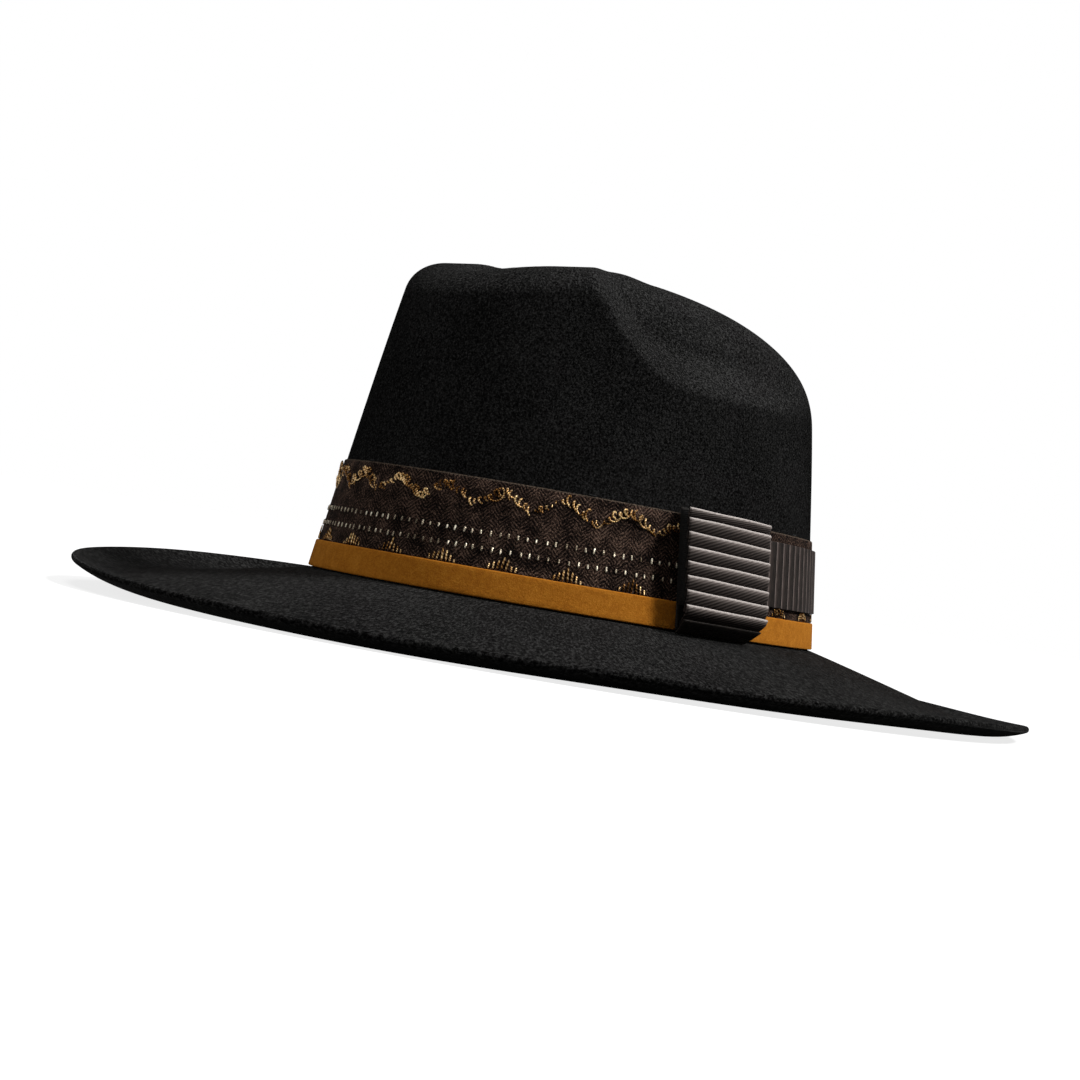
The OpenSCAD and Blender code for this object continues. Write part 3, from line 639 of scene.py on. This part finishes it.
def wall_up(t, h):
    return unit(wall_point(t, h + 1, 0.0) - wall_point(t, h, 0.0))


# Gold thread in loose loops along the upper zigzag: loops on each slope, points on each loop and sizes
LOOPS, LOOP_POINTS = 3, 20
LOOP_REACH = 1.2
GOLD_RADIUS, COVERED_RADIUS, COVERED_OUT = 0.36, 0.15, 0.2
loop_count = 2 * ZIGZAG_COUNT * LOOPS
steps = np.arange(loop_count * LOOP_POINTS) / LOOP_POINTS


def by_loop(low, high):
    """A value that drifts from loop to loop between two limits."""
    return np.interp(steps, np.arange(loop_count), random.uniform(low, high, loop_count), period=loop_count)


def gold_strand(shift):
    """One strand of the zigzag's loops; it lies flat where the back ribbon covers it."""
    half = (steps + shift) / LOOPS
    fall = np.where(np.floor(half) % 2 == 0, half % 1, 1 - half % 1)
    t = (ZIGZAG_PHASE + half * 180 / ZIGZAG_COUNT) * DEG
    h = BROCADE_TOP - ZIGZAG_MARGIN - LOOP_REACH - (ZIGZAG_RISE - 2 * LOOP_REACH) * fall + by_loop(-0.8, 0.8)
    curl = TURN * steps
    size = by_loop(0.5, 2.0)
    t = t - size * np.sin(curl) / wall_radius(t)
    h = h + size * np.cos(curl)
    covered = (t > BOW_ANGLE * DEG) & (t < BACK_RIBBON_END * DEG)
    h = np.where(covered, np.minimum(h, ribbon_top - 1), h)
    out = OVER_BROCADE + np.where(covered, COVERED_OUT, by_loop(-1.05, 0.85) + 0.5 * np.sin(curl + 0.6))
    return tube(wall_point(t, h, out), outward(t), np.where(covered, COVERED_RADIUS, GOLD_RADIUS), True, 8)


piece("gold_zigzag", [gold_strand(0), gold_strand(0.5)], GOLD_PAINT, "zigzag_upper")

# One sewn stitch as a flat capsule: it lies along x, with a size of 1 each way
stitch_x = np.array([-0.5, -0.44, -0.3, 0.3, 0.44, 0.5])
stitch_r = np.array([0.2, 0.7, 1, 1, 0.7, 0.2]) / 2
ring = TURN * np.arange(8) / 8
STITCH = loft(np.stack([np.broadcast_to(stitch_x[:, None], (6, 8)), stitch_r[:, None] * -np.sin(ring),
                        stitch_r[:, None] * np.cos(ring)], -1),
              flat_grid(np.append(stitch_x, 0.5) * 3, np.arange(9) / 8), closed=False)


def stitches(t, h, out, long, wide, thick, upright=True, lean=0.0):
    """Many stitches on the crown wall, upright or level."""
    t, h, out, long, lean = np.broadcast_arrays(t, h, out, long, lean)
    face = outward(t)
    up = wall_up(t, h)
    level = np.cross(up, face)
    along = unit(up + lean[:, None] * level) if upright else -level
    side = np.cross(face, along)
    return copies(STITCH, wall_point(t, h, out), along * long[:, None], side * wide, face * thick)


# Short gold stitches that climb to small points over the suede strip: their turn from the zigzag in degrees,
# the stitches to each side of the middle one, their pitch, their lengths and foot, and the stitches' sections
POINT_SHIFT, POINT_REACH, POINT_PITCH = 2.5, 3, 1.6
POINT_SHORT, POINT_LONG, POINT_MEAN, POINT_FOOT = 0.9, 2.2, 1.6, 0.2
STITCH_WIDE, POINT_THICK, TICK_THICK = 0.7, 0.5, 0.45
point = (ZIGZAG_PHASE + POINT_SHIFT + np.arange(ZIGZAG_COUNT) * 360 / ZIGZAG_COUNT) * DEG
spread = np.arange(-POINT_REACH, POINT_REACH + 1)
gold_t = (point[:, None] + spread[None] * POINT_PITCH / wall_radius(point)[:, None]).ravel()
climb = np.tile(1 - np.abs(spread) / POINT_REACH, ZIGZAG_COUNT)
gold_long = random.uniform(POINT_SHORT, POINT_LONG, gold_t.size) + (FRINGE_RISE - POINT_MEAN) * climb
gold_h = SUEDE_TOP + POINT_FOOT + gold_long / 2
piece("gold_points", [stitches(gold_t, gold_h, OVER_BROCADE + 0.2, gold_long, STITCH_WIDE, POINT_THICK,
                               lean=random.uniform(-0.15, 0.15, gold_t.size))],
      GOLD_PAINT, "zigzag_lower")

# Two rows of bright upright stitches, a little uneven
ROW_STITCHES, UNEVEN = 174, 0.12
ROWS = (("silver_row_low", "stitch_row_lower"), ("silver_row_high", "stitch_row_upper"))
for row, (name, node) in enumerate(ROWS):
    tick_t = np.arange(ROW_STITCHES) + 0.5 * row + random.uniform(-UNEVEN, UNEVEN, ROW_STITCHES)
    tick_t = TURN * tick_t / ROW_STITCHES
    row_h = SUEDE_TOP + STITCH_ROW_HEIGHT + row * STITCH_ROW_PITCH
    tick_h = row_h + random.uniform(-UNEVEN, UNEVEN, ROW_STITCHES)
    tick_long = STITCH_TALL * random.uniform(0.7, 1.1, ROW_STITCHES)
    piece(name, [stitches(tick_t, tick_h, OVER_BROCADE + 0.15, tick_long, STITCH_WIDE, TICK_THICK,
                          lean=random.uniform(-0.1, 0.1, ROW_STITCHES))], SILVER_PAINT, node)

# Bow: one ribbon folded into level pleats whose folds point up; its thickness, fold radius and tuck
RIBBON, FOLD, TUCK = 0.4, 0.3, 2.0
# The foot that rolls under: shares of its height, lifts off the bow's depth and shares of a stripe
FOOT_ROLL = ((0.66, 0.9, 0.5), (0.36, 0.2, 0.75), (0.1, -0.9, 0.85), (-0.1, -2.2, 0.9), (-0.2, -3.6, 0.94))


def bow_line():
    """Middle line of the folded ribbon as heights, lifts off the bow's depth and pleat counts."""
    tops = np.append(BOW_TOP, FOOT_FOLD + PLEAT_PITCH * np.arange(PLEAT_COUNT, -1, -1))
    line = [(BOW_TOP - 3.0, 0.2, -0.5), (BOW_TOP - 1.5, 0.5, -0.3)]
    over = np.linspace(0, 180, 7) * DEG
    under = np.linspace(0, 180, 6) * DEG
    for j, fold in enumerate(tops):
        line += [(fold - FOLD + FOLD * math.sin(a), PLEAT_PROUD - FOLD - FOLD * math.cos(a),
                  j - 0.03 + 0.06 * a / math.pi) for a in over]
        if j + 1 == len(tops):
            break
        low = tops[j + 1]
        for s in np.linspace(0, 1, 8)[1:]:
            line.append((mix(fold - FOLD, low, s), mix(PLEAT_PROUD, 0, s) + 0.28 * math.sin(math.pi * s),
                         j + 0.03 + 0.87 * s))
        line += [(low - TUCK - 0.4 * math.sin(a), -0.05 - 0.4 * math.cos(a), j + 0.93) for a in under]
        line.append((low - TUCK / 2, mix(0.35, PLEAT_PROUD - 2 * FOLD, 0.5), j + 0.95))
    foot = len(tops) - 1
    line += [(share * FOOT_FOLD, lift, foot + stripe_and_pleat_shade) for share, lift, stripe_and_pleat_shade in FOOT_ROLL]
    return np.array(line)


line = bow_line()
run = np.gradient(line[:, :2], axis=0)
beside = unit(np.stack([-run[:, 1], run[:, 0]], -1)) * RIBBON / 2
section = np.concatenate([line[:, :2] - beside, (line[:, :2] + beside)[::-1]])
pleat = np.concatenate([line[:, 2], line[::-1, 2], line[:1, 2]])
across = np.linspace(-1, 1, BOW_COLUMNS)
bow_radius = wall_radius(BOW_ANGLE * DEG)


def bow_place(h, out, sway=0.0, inset=0.0):
    """Places over the bow's stretch of the wall: columns across it, rows by height."""
    c = across[:, None]
    low = np.clip((CORNER_HEIGHT - h) / CORNER_HEIGHT, 0, 1)
    half_width = BOW_WIDTH / 2 - inset - np.where(c > 0, BOW_CORNER * low ** 2, 0)
    radius = bow_radius * (1 - h * math.tan(CROWN_TAPER) / MEAN_R)
    t = BOW_ANGLE * DEG + (c * half_width + BOW_LEAN * (1 - h / BOW_TOP)) / radius
    lift = (sway - c * BOW_WIDTH / 2 * math.tan(BOW_TILT * DEG)) * smooth(h / CORNER_HEIGHT)
    return wall_point(t, np.maximum(h + lift, brim_height(t, out) + 2 * PLY_GAP), out)


def bow_depth(h):
    """Stand-off of the folded ribbon from the bow's backing."""
    depth = mix(BOW_DEPTH_LOW, BOW_DEPTH_TOP, np.clip(h / BOW_TOP, 0, 1))
    return depth * mix(ROLLED_SHARE, 1, smooth(h / BOW_ROLL))


def bow_points(h, lift):
    """Places on the bow's ribbon, whose pleats wander a little from straight."""
    c, j = across[:, None], pleat[None, :len(h)]
    sway = 0.07 * np.sin(2.3 * c + 1.7 * j) + 0.05 * np.sin(5.1 * c - 2.9 * j)
    return bow_place(h, BOW_BACK + np.maximum(bow_depth(h) + lift, 0.3), sway)


bow_flat = np.stack(np.meshgrid(across * BOW_WIDTH / 2, pleat * PLEAT_PITCH, indexing="ij"), -1)[..., ::-1]
bow = piece("bow_ribbon", [loft(bow_points(section[:, 0], section[:, 1]), bow_flat, closed=False)],
            BOW_PAINT, "bow_pleats")


def bow_board(heights, outs, inset):
    """Flat layer of the bow, up its face and down its back."""
    heights = np.concatenate([heights, heights[::-1]])
    flat = flat_grid(across * BOW_WIDTH / 2, np.append(heights, heights[0]))
    return loft(bow_place(heights, outs, inset=inset), flat, closed=False)


# Near-black core under the pleats, painted shade that fills the bow's inside, and the backing that they are
# sewn to
CORE_ROWS, CORE_SUNK, BACKING_ROWS = 12, 0.7, 24
core_h = np.linspace(BOW_ROLL, BOW_TOP - 1, CORE_ROWS)
core_out = np.concatenate([BOW_BACK + bow_depth(core_h) - CORE_SUNK, np.full(CORE_ROWS, BOW_BACK + PLY_GAP)])
piece("bow_core_canvas", [bow_board(core_h, core_out, 0.5)], CORE_SHADE_PAINT, "bow_pleats")
backing_h = np.linspace(BAND_LIFT, BOW_TOP - PLY_GAP, BACKING_ROWS)
backing_out = np.repeat([BOW_BACK - PLY_GAP, BOW_SEAT], BACKING_ROWS)
backing = piece("bow_backing_canvas", [bow_board(backing_h, backing_out, 1.0)],
                BACKING_PAINT, "bow_backing")


def level_stitches(t, h, out):
    """Level sewing stitches of the common size."""
    return stitches(t, h, out, BAR_LONG, BAR_THREAD, BAR_THREAD, upright=False)


# Threads that hold the bands
BAND_TACKS = 6
tack_t = BOW_ANGLE * DEG + (np.arange(BAND_TACKS) + 0.5) * TURN / BAND_TACKS
tack_h = BROCADE_TOP + PLY_GAP + BAR_THREAD / 2
piece("band_tack_threads", [level_stitches(tack_t, tack_h, PLY_GAP + BAR_THREAD)],
      DARK_THREAD_PAINT, "band_tacks")

# Sweatband, its reed tape and its stitches
SWEAT_EDGE = 0.5
TAPE_OPENING = 35 * DEG
SEAM_STITCHES, SEAM_HEIGHT, JOINT_STITCHES = 90, 2.5, 7
gap = SWEAT_JOINT / 2 / BASE_B
sweat_t = np.linspace(math.pi + gap, 3 * math.pi - gap, SWEAT_COLUMNS)
piece("leather_sweatband", [wall_ribbon(sweat_t, SWEAT_LOW, SWEAT_HEIGHT, SWEAT_FACE, -SWEAT_OUT, SWEAT_EDGE,
                                        False, 10)],
      LEATHER_PAINT, "sweatband")
reed_out = -SWEAT_OUT - SWEAT_THICK / 2
sleeve = REED_D / 2 + PLY_GAP + TAPE_THICK
reed_height = SWEAT_LOW - PLY_GAP - sleeve
folds = np.linspace(math.pi / 2 + TAPE_OPENING, 5 * math.pi / 2 - TAPE_OPENING, 17)
unfolds = folds[::-1]
in_sleeve = sleeve - TAPE_THICK
tape_h = reed_height + np.concatenate([sleeve * np.sin(folds), in_sleeve * np.sin(unfolds)])
tape_o = reed_out + np.concatenate([sleeve * np.cos(folds), in_sleeve * np.cos(unfolds)])
tape_v = np.concatenate([folds, unfolds, folds[:1]]) * sleeve
tape_flat = flat_grid(lengths(wall_point(ALL_ROUND, reed_height, reed_out)), tape_v)
piece("folded_reed_tape", [loft(wall_point(ALL_ROUND[:, None], tape_h[None], tape_o[None]), tape_flat)],
      TAPE_PAINT, "reed_tape")
stitch_out = SWEAT_FACE - PLY_GAP - BAR_THREAD / 2 + 0.2
seam_t = math.pi + (np.arange(SEAM_STITCHES) + 0.5) * TURN / SEAM_STITCHES
piece("sweatband_seam", [level_stitches(seam_t, SEAM_HEIGHT, stitch_out)],
      TAN_THREAD_PAINT, "sweatband_stitches")
joint_h = np.linspace(SMALL_LOW + SMALL_RIBBON + 2, SWEAT_HEIGHT - 2, JOINT_STITCHES)
piece("joint_seam", [level_stitches(math.pi, joint_h, stitch_out)],
      TAN_THREAD_PAINT, "joint_stitches")


# Lining of the crown

def lining_layer(rows, depth):
    return felt_out[:, rows] - depth * felt_normals[:, rows]


# Depth of the soft gathers in the lining's side, and how many times longer the dome makes its tip
GATHER, TIP_DOME = 0.22, 1.1
hem = BRIM_ROWS + round(LINING_HEM * WALL_ROWS)
seam = BRIM_ROWS + WALL_ROWS
side_rows = np.arange(hem, seam + 1)
tip_rows = np.arange(seam + 1, BRIM_ROWS + CROWN_ROWS)
columns = np.arange(len(felt_out))
gather = GATHER * (1 + np.cos(columns * TURN / 4 + 1.3 * np.sin(columns * TURN / 37)))[:, None, None]
back = lining_layer(side_rows, FELT + PLY_GAP)
face = lining_layer(side_rows, FELT + PLY_GAP + LINING_THICK)
fullness = smooth((np.arange(len(side_rows)) / len(side_rows)) * 1.2)[None, :, None]
face = face - gather * fullness * felt_normals[:, side_rows]
round_flat = np.append(columns, len(columns)) * TURN * MEAN_R / len(columns)
rise = np.linalg.norm(np.diff(back[0], axis=0), axis=1)
rise = np.append(0, np.cumsum(rise))
side_flat = flat_grid(round_flat, np.concatenate([rise, rise[::-1], rise[:1]]))
lining_side = piece("lining_wall", [loft(np.concatenate([back, face[:, ::-1]], axis=1), side_flat)],
                    SATIN_PAINT, "lining_side")
tip_back = lining_layer(tip_rows, FELT + PLY_GAP)
tip_face = lining_layer(tip_rows, FELT + PLY_GAP + LINING_THICK)
deep = np.array([0, 0, FELT + PLY_GAP])
tip_points = np.concatenate([tip_face[:, ::-1], tip_back], axis=1)
tip_flat = np.concatenate([tip_points, tip_points[:1]])[:, np.append(np.arange(tip_points.shape[1]), 0), :2]
lining_tip = piece("lining_crown_tip", [loft(tip_points, tip_flat, looped=False,
                                             poles=[top - deep - [0, 0, LINING_THICK], top - deep])],
                   SATIN_PAINT, "lining_tip")
cord = felt_out[:, seam] - (FELT + 2 * PLY_GAP + LINING_THICK + PIPING_D / 2) * felt_normals[:, seam]
piece("lining_cord", [tube(cord, felt_normals[:, seam], PIPING_D / 2, True, 10)],
      PIPING_PAINT, "lining_piping")


# Small bow on the sweatband's joint: two loops of ribbon and a knot

def small_seat(beside):
    return wall_point(math.pi - beside / BASE_B, SMALL_LOW + SMALL_RIBBON, SWEAT_FACE - 2 * PLY_GAP)


def small_loop(side):
    """Ribbon loop beside the knot, drawn in a little where the knot holds it."""
    near = small_seat(KNOT_WIDTH / 2 + 3 * PLY_GAP)
    lie = unit(small_seat(KNOT_WIDTH / 2 + 3 * PLY_GAP + SMALL_LOOP) - near)[:2]
    bend = SMALL_DEPTH / 2 - SMALL_CLOTH / 2
    straight = SMALL_LOOP - SMALL_DEPTH
    a = np.linspace(-90, 90, 13) * DEG
    x = np.concatenate([SMALL_DEPTH / 2 + straight + bend * np.cos(a), SMALL_DEPTH / 2 - bend * np.cos(a)])
    y = np.concatenate([bend * np.sin(a), -bend * np.sin(a)])
    path = near[:2] + x[:, None] * lie + (y - SMALL_DEPTH / 2)[:, None] * np.array([-lie[1], lie[0]])
    step = unit(np.roll(path, -1, 0) - np.roll(path, 1, 0))
    out = np.stack([step[:, 1], -step[:, 0]], -1) * SMALL_CLOTH / 2
    drawn = 0.8 * (1 - smooth(x / 5))
    rows = []
    for face, top in ((1, 0), (1, 1), (-1, 1), (-1, 0)):
        z = STAND + SMALL_LOW + (SMALL_RIBBON - drawn if top else drawn)
        rows.append(np.concatenate([path + face * out, z[:, None]], -1))
    points = np.stack(rows, 1) * [side, 1, 1]
    edges = np.array([0, SMALL_RIBBON, SMALL_RIBBON + SMALL_CLOTH, 2 * SMALL_RIBBON,
                      2 * SMALL_RIBBON + SMALL_CLOTH])
    return loft(points[::side], flat_grid(lengths(path), edges))


piece("small_ribbon_loops", [small_loop(1), small_loop(-1)], TAPE_PAINT, "small_bow_loops")
KNOT_COLUMNS, KNOT_ROWS = 24, 9
a = TURN * np.arange(KNOT_COLUMNS) / KNOT_COLUMNS
knot_x, knot_y = (np.sign(f) * np.abs(f) ** 0.5 for f in (np.cos(a), np.sin(a)))
knot_z = np.linspace(-SMALL_CLOTH, SMALL_RIBBON + SMALL_CLOTH, KNOT_ROWS)
knot_r = 1 - 0.25 * np.abs(np.linspace(-1, 1, KNOT_ROWS)) ** 3
knot_mid = small_seat(KNOT_WIDTH / 2)[1] - SMALL_DEPTH / 2
knot_points = np.stack([KNOT_WIDTH / 2 * knot_x[:, None] * knot_r,
                        knot_mid + SMALL_DEPTH / 2 * knot_y[:, None] * knot_r,
                        np.broadcast_to(STAND + SMALL_LOW + knot_z, (KNOT_COLUMNS, KNOT_ROWS))], -1)
knot_ends = [[0, knot_mid, STAND + SMALL_LOW + z] for z in (knot_z[0], knot_z[-1])]
knot_flat = flat_grid(np.arange(KNOT_COLUMNS + 1) * 0.6, knot_z)
piece("small_ribbon_knot", [loft(knot_points, knot_flat, looped=False, poles=knot_ends)],
      TAPE_PAINT, "small_bow_knot")

# CAD pieces whose own shape is right
for node, paint in (("bow_tacks", DARK_THREAD_PAINT), ("sweatband_reed", REED_PAINT)):
    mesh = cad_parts[node].data
    mesh.materials.clear()
    mesh.materials.append(paint)

# Cut size of the lining's tip and its area; the area is not kept
tip_size = np.ptp(tip_back[..., :2], axis=(0, 1)) * TIP_DOME * MM
math.pi / 4 * tip_size.prod()


# Floor, light and camera

def floor_paint():
    """Pale floor: white to the camera but for the hat's soft shadow, and dim in the light it throws back."""
    p = Paint("pale_floor", 0.9, 0.0)
    p.colour(p.blend(p.noise(3, 2), grey(0.29), grey(0.31)))
    glow = p.add("Emission", Strength=0.8)
    lit = p.add("AddShader")
    for socket, shader in zip(lit.inputs, (p.bsdf.outputs[0], glow.outputs[0])):
        p.put(socket, shader)
    ray = p.add("LightPath").outputs
    seen = p.math("MAXIMUM", ray["Is Camera Ray"], ray["Is Glossy Ray"])
    seen = p.math("MAXIMUM", seen, ray["Is Transmission Ray"])
    dim = p.add("BsdfDiffuse", Color=grey(0.12))
    pick = p.add("MixShader", Fac=seen)
    p.put(pick.inputs[1], dim.outputs[0])
    p.put(pick.inputs[2], lit.outputs[0])
    p.put(p.tree.nodes["Material Output"].inputs["Surface"], pick.outputs[0])
    return p.material


bpy.ops.mesh.primitive_plane_add(size=30)
floor = bpy.context.object
floor.name = "studio_floor"
floor.data.materials.append(floor_paint())

world = bpy.data.worlds.new("studio")
bpy.context.scene.world = world
world.use_nodes = True
tree = world.node_tree
sky = tree.nodes["Background"]
sky.inputs["Color"].default_value = grey(1)
sky.inputs["Strength"].default_value = 0.05
backdrop = tree.nodes.new("ShaderNodeBackground")
backdrop.inputs["Color"].default_value = grey(1)
backdrop.inputs["Strength"].default_value = 1.0
ray = tree.nodes.new("ShaderNodeLightPath")
pick = tree.nodes.new("ShaderNodeMixShader")
tree.links.new(ray.outputs["Is Camera Ray"], pick.inputs[0])
tree.links.new(sky.outputs[0], pick.inputs[1])
tree.links.new(backdrop.outputs[0], pick.inputs[2])
tree.links.new(pick.outputs[0], tree.nodes["World Output"].inputs["Surface"])


def toward(azimuth, elevation):
    """Direction from the hat to a place at that azimuth from its front and that elevation, in degrees."""
    a, e = azimuth * DEG, elevation * DEG
    return Vector((math.sin(a) * math.cos(e), -math.cos(a) * math.cos(e), math.sin(e)))


def lamp(name, azimuth, elevation, strength, spread):
    light = bpy.data.lights.new(name, "SUN")
    light.energy = strength
    light.angle = spread * DEG
    made = bpy.data.objects.new(name, light)
    bpy.context.collection.objects.link(made)
    made.rotation_mode = "QUATERNION"
    made.rotation_quaternion = toward(azimuth, elevation).to_track_quat("Z", "Y")


lamp("key", 124, 48, 3.1, 12)
lamp("top", 60, 86, 0.9, 30)
lamp("fill", -12, 20, 0.6, 40)

# Camera as fitted to the photograph's outline
CAMERA_AZIMUTH, CAMERA_ELEVATION, CAMERA_ROLL = 48.3, -0.56, 9.78
CAMERA_DISTANCE, CAMERA_LENS = 0.9, 78.7
AIM = Vector((-1.39, -16.92, STAND + 24.27)) * MM
camera = bpy.data.cameras.new("camera")
camera.lens = CAMERA_LENS
camera.clip_start, camera.clip_end = 0.05, 60
eye = bpy.data.objects.new("camera", camera)
bpy.context.collection.objects.link(eye)
back_axis = toward(CAMERA_AZIMUTH, CAMERA_ELEVATION)
right_axis = Vector((math.cos(CAMERA_AZIMUTH * DEG), math.sin(CAMERA_AZIMUTH * DEG), 0))
up_axis = back_axis.cross(right_axis)
turn = Matrix((right_axis, up_axis, back_axis)).transposed() @ Matrix.Rotation(CAMERA_ROLL * DEG, 3, "Z")
eye.matrix_world = Matrix.Translation(AIM + CAMERA_DISTANCE * back_axis) @ turn.to_4x4()
bpy.context.scene.camera = eye
bpy.context.scene.view_settings.view_transform = "Standard"
